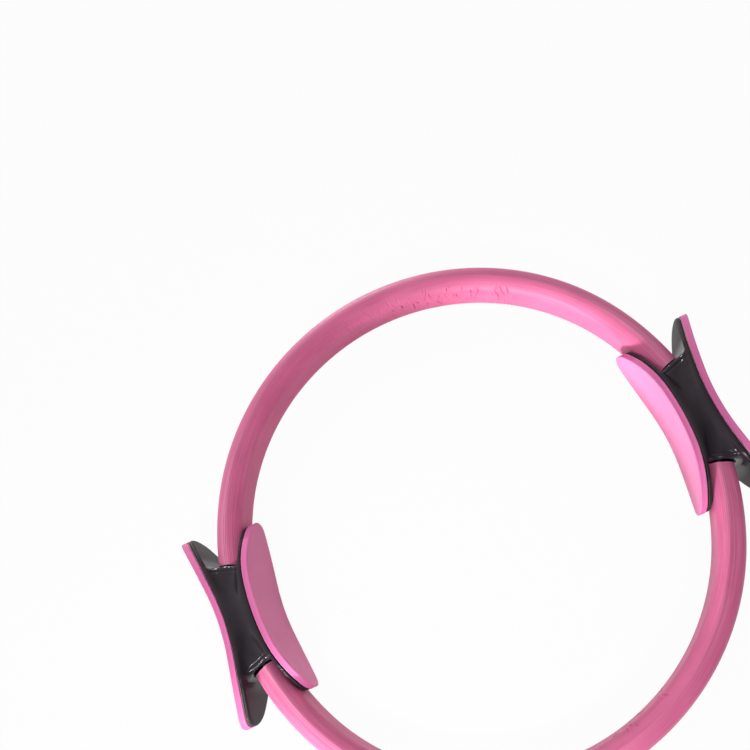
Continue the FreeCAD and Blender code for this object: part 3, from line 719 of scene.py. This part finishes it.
def padFinish(look):
    finish, wire, shader = startFinish("padFoam")
    place = wire.add("ShaderNodeTexCoord", None, None, "Object")
    cloud = noiseOn(wire, place, look["cloud"], 3.0)
    cells = noiseOn(wire, place, look["cells"], 2.0)
    tone = cloud.span(0.3, 0.7) * 0.7 + cells.span(0.35, 0.65) * 0.3
    skin = mixTint(wire, tone, look["deep"], look["face"])
    # painted shade: the pad's sides, past the open face, take a darker and deeper pink than the face
    onSide = attributeOn(wire, "level").span(*look["sideShadeFrom"])
    mixTint(wire, onSide, skin, look["side"]).into(shader, "Base Color")
    (look["rough"] + (cloud - 0.5) * 0.14 + (cells - 0.5) * 0.08).into(shader, "Roughness")
    bumpOn(wire, cells * 0.5 + cloud * 0.5, look["bump"]).into(shader, "Normal")
    dressShader(shader, look)
    return finish


gripBlack = gripFinish(gripLook)
padPink = padFinish(padLook)
for side, sign in (("right", 1), ("left", -1)):
    spot = Matrix.Translation((sign * grip["centre"] * mm, 0, grip["halfWidth"] * mm))
    spot = spot @ Matrix.Diagonal((sign, sign, 1, 1))
    mesh = fieldMesh("moulding", mouldingField, grip["low"], grip["high"], grip["step"])
    mesh.materials.append(gripBlack)
    moulding = placePart(side + "_moulding", mesh, spot)
    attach(moulding, side + "_grip")
    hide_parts(side + "_grip_moulding")
    for name in ("outer", "inner"):
        flange = grip[name]
        near, far = pad["across"][name]
        low = (near, -flange["half"], -grip["halfWidth"])
        high = (far, flange["half"], grip["halfWidth"])
        mesh = fieldMesh("pad", lambda x, y, z: padField(x, y, z, flange), low, high, pad["step"])
        mesh.materials.append(padPink)
        # level in the pad's thickness, 0 at the open face
        depth = mesh.attributes.new("level", "FLOAT", "POINT")
        points = pointsOf(mesh) / mm
        rho = np.hypot(points[:, 0] - flange["axis"], points[:, 1])
        depth.data.foreach_set("value", (rho - flange["face"]) / pad["thick"])
        sheet = placePart(side + "_" + name + "_padFoam", mesh, spot)
        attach(sheet, side + "_grip")
        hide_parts(side + "_" + name + "_pad")
print("grips and pads meshed")

# adhesive films and screws keep their solids, with finishes of their own
hidden = {"film": shown(214, 206, 190), "filmEdge": shown(190, 178, 158), "cloud": 120.0,
          "brush": 1800.0, "brushed": (0.1, 1.0, 1.0),
          "steel": shown(186, 188, 192), "steelDark": shown(120, 122, 126)}


def filmFinish(look):
    finish, wire, shader = startFinish("adhesiveFilm")
    place = wire.add("ShaderNodeTexCoord", None, None, "Object")
    cloud = noiseOn(wire, place, look["cloud"], 3.0)
    mixTint(wire, cloud.span(0.35, 0.7), look["film"], look["filmEdge"]).into(shader, "Base Color")
    cloud.span(0.3, 0.7, 0.25, 0.5).into(shader, "Roughness")
    return finish


def screwFinish(look):
    finish, wire, shader = startFinish("screwSteel")
    place = wire.add("ShaderNodeTexCoord", None, None, "Object")
    brush = noiseOn(wire, stretchOn(wire, place, look["brushed"]), look["brush"], 3.0)
    mixTint(wire, brush.span(0.3, 0.7), look["steel"], look["steelDark"]).into(shader, "Base Color")
    brush.span(0.3, 0.7, 0.25, 0.45).into(shader, "Roughness")
    shader.inputs["Metallic"].default_value = 1.0
    return finish


filmPale = filmFinish(hidden)
screwSteel = screwFinish(hidden)
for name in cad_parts:
    if name.endswith("_film") or name.endswith("_screws"):
        part = bpy.data.objects[name]
        part.data.materials.clear()
        part.data.materials.append(filmPale if name.endswith("_film") else screwSteel)
print("films and screws finished")

# floor, light and backdrop
studio = {"floor": 6.0, "floorTone": (0.8, 0.8, 0.8, 1.0), "floorRough": 0.9, "white": 0.96,
          "shade": 0.095, "bright": 0.77, "toward": (-0.46, 0.86, 0.22), "facing": (-0.7, 0.9)}
# area lamps with a narrow spread, in metres, watts and degrees
lamps = {"key": {"place": (-0.55, -0.58, 0.11), "aim": (0.15, 0.11, 0.024), "size": (0.25, 0.07),
                 "power": 0.25, "spread": 23.0},
         "strip": {"place": (-0.32, -0.62, 0.75), "aim": (-0.17, -0.04, 0.03), "size": (0.7, 0.04),
                   "power": 0.36, "spread": 36.0},
         "rim": {"place": (-0.12, 0.9, 0.045), "aim": (-0.05, 0.18, 0.036), "size": (0.5, 0.02),
                 "power": 0.085, "spread": 22.0},
         "crown": {"place": (-0.03, 0.65, 0.5), "aim": (-0.03, 0.17, 0.036), "size": (0.2, 0.1),
                   "power": 0.01, "spread": 26.0}}


def floorFinish(look):
    finish, wire, shader = startFinish("floor")
    tree = finish.node_tree
    shader.inputs["Base Color"].default_value = look["floorTone"]
    shader.inputs["Roughness"].default_value = look["floorRough"]
    # seen directly or mirrored, the floor is nearly white and keeps a faint shadow
    path = wire.add("ShaderNodeLightPath", None, None, "Is Camera Ray")
    seen = wire.maths("MAXIMUM", path, path.pick("Is Glossy Ray"))
    seen = wire.maths("MAXIMUM", seen, path.pick("Is Transmission Ray"))
    glow = wire.add("ShaderNodeEmission", None, {"Strength": 1.0})
    mixed = wire.add("ShaderNodeMixShader", None,
                     {0: seen * look["white"], 1: Wire(tree, shader.outputs[0]), 2: glow})
    mixed.into(tree.nodes["Material Output"], "Surface")
    return finish


half = studio["floor"] / 2
ground = bpy.data.meshes.new("floor")
ground.from_pydata([(-half, -half, 0), (half, -half, 0), (half, half, 0), (-half, half, 0)], [],
                   [(0, 1, 2, 3)])
ground.materials.append(floorFinish(studio))
floor = bpy.data.objects.new("floor", ground)
scene.collection.objects.link(floor)

world = bpy.data.worlds.new("studio")
world.use_nodes = True
scene.world = world
sky = world.node_tree.nodes["Background"]
sky.inputs["Color"].default_value = (1.0, 1.0, 1.0, 1.0)
wire = Wire(world.node_tree)
path = wire.add("ShaderNodeLightPath", None, None, "Is Camera Ray")
heading = wire.add("ShaderNodeTexCoord", None, None, "Generated")
facing = wire.add("ShaderNodeVectorMath", {"operation": "DOT_PRODUCT"},
                  {0: heading, 1: studio["toward"]}, "Value")
glow = facing.span(*studio["facing"], studio["shade"], studio["bright"])
(path + (1 - path) * glow).into(sky, "Strength")
for name, spec in lamps.items():
    lamp = bpy.data.lights.new(name, "AREA")
    lamp.energy = spec["power"]
    lamp.shape = "RECTANGLE"
    lamp.size, lamp.size_y = spec["size"]
    lamp.spread = math.radians(spec["spread"])
    holder = bpy.data.objects.new(name, lamp)
    holder.visible_camera = False
    holder.location = spec["place"]
    holder.rotation_euler = (Vector(spec["aim"]) - holder.location).to_track_quat("-Z", "Y").to_euler()
    scene.collection.objects.link(holder)
print("stage set")
